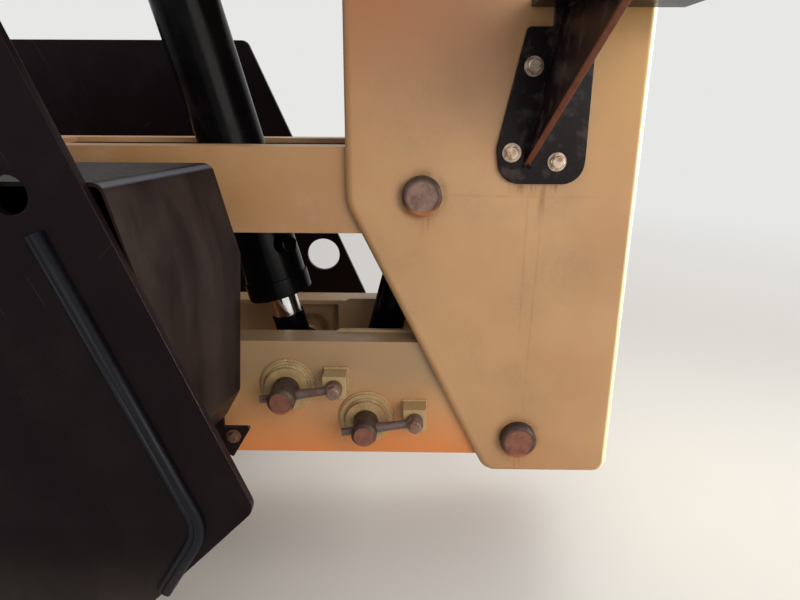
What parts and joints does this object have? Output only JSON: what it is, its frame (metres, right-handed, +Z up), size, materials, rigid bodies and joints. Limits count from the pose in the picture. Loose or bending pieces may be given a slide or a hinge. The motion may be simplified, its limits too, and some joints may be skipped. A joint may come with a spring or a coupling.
{
  "type": "tower linkage of an articulating boom lift",
  "caption": "Parallelogram tower linkage of an articulating boom lift: two links and an upright on a turntable frame, raised by cylinders.",
  "frame": {"origin": "centre of the slewing bolt circle, on the underside of the base plate", "axes": "+X towards the upright, +Z up, so that the side with the guard box and the bracket is -Y"},
  "size_m": [2.53, 0.88, 1.3148],
  "materials": {
    "cream_paint": "semi-gloss, weathered",
    "black_paint": "semi-gloss, scuffed",
    "guard_finish": "satin, scuffed",
    "cylinder_paint": "gloss",
    "pin_steel": "rusted",
    "rod_chrome": "polished"
  },
  "bodies": {
    "root": {"base_plate": "black_paint", "side_plate_near": "black_paint", "side_plate_far": "black_paint", "inner_plate_near": "black_paint", "inner_plate_far": "black_paint", "front_wall": "black_paint", "rear_beam": "black_paint", "cross_ties": "black_paint", "guard_box": "guard_finish", "frame_pin_lower": "pin_steel", "frame_pin_upper": "pin_steel"},
    "lower_link": {"lower_link": "cream_paint", "lift_pin": "pin_steel", "second_pin": "pin_steel", "lift_keeper": "pin_steel", "second_keeper": "pin_steel"},
    "upper_link": {"upper_link": "cream_paint"},
    "upright": {"upright": "cream_paint", "upright_pin_lower": "pin_steel", "upright_pin_upper": "pin_steel", "lift_top_pin": "pin_steel", "second_top_pin": "pin_steel", "bracket": "black_paint"},
    "lift_barrel": {"lift_barrel": "cylinder_paint", "lift_gland": "cylinder_paint"},
    "lift_rod": {"lift_rod": "rod_chrome", "lift_rod_eye": "cylinder_paint"},
    "second_barrel": {"second_barrel": "cylinder_paint", "second_gland": "cylinder_paint"},
    "second_rod": {"second_rod": "rod_chrome", "second_rod_eye": "cylinder_paint"}
  },
  "joints": [
    {"name": "tower_lift", "type": "hinge", "parent": "root", "child": "lower_link", "pos_m": [-1.1, 0, 0.23], "axis": [0, -1, 0], "range_deg": [0, 75]},
    {"name": "upper_link_pivot", "type": "hinge", "parent": "root", "child": "upper_link", "pos_m": [-1.259, 0, 0.616], "axis": [0, -1, 0], "range_deg": [0, 76]},
    {"name": "upright_pivot", "type": "hinge", "parent": "lower_link", "child": "upright", "pos_m": [0.95, 0, 0.23], "axis": [0, -1, 0], "range_deg": [-76, 0]},
    {"name": "lift_swing", "type": "hinge", "parent": "upright", "child": "lift_barrel", "pos_m": [0.369, 0, 1.11], "axis": [0, -1, 0], "range_deg": [0, 4.68]},
    {"name": "lift_stroke", "type": "slide", "parent": "lift_barrel", "child": "lift_rod", "axis": [0.2573, 0, -0.9663], "range_m": [0, 0.4577]},
    {"name": "second_swing", "type": "hinge", "parent": "upright", "child": "second_barrel", "pos_m": [0.878, 0, 0.93], "axis": [0, -1, 0], "range_deg": [0, 14.29]},
    {"name": "second_stroke", "type": "slide", "parent": "second_barrel", "child": "second_rod", "axis": [-0.2456, 0, -0.9694], "range_m": [0, 0.236]}
  ],
  "couplings": [
    {"joint": "upper_link_pivot", "follows": "tower_lift", "ratio": 1},
    {"joint": "upright_pivot", "follows": "tower_lift", "ratio": -1},
    {"joint": "lift_swing", "follows": "tower_lift", "ratio": 0.049025},
    {"joint": "lift_stroke", "follows": "tower_lift", "m_per_rad": 0.34662},
    {"joint": "second_swing", "follows": "tower_lift", "ratio": 0.17717},
    {"joint": "second_stroke", "follows": "tower_lift", "m_per_rad": 0.17727}
  ]
}
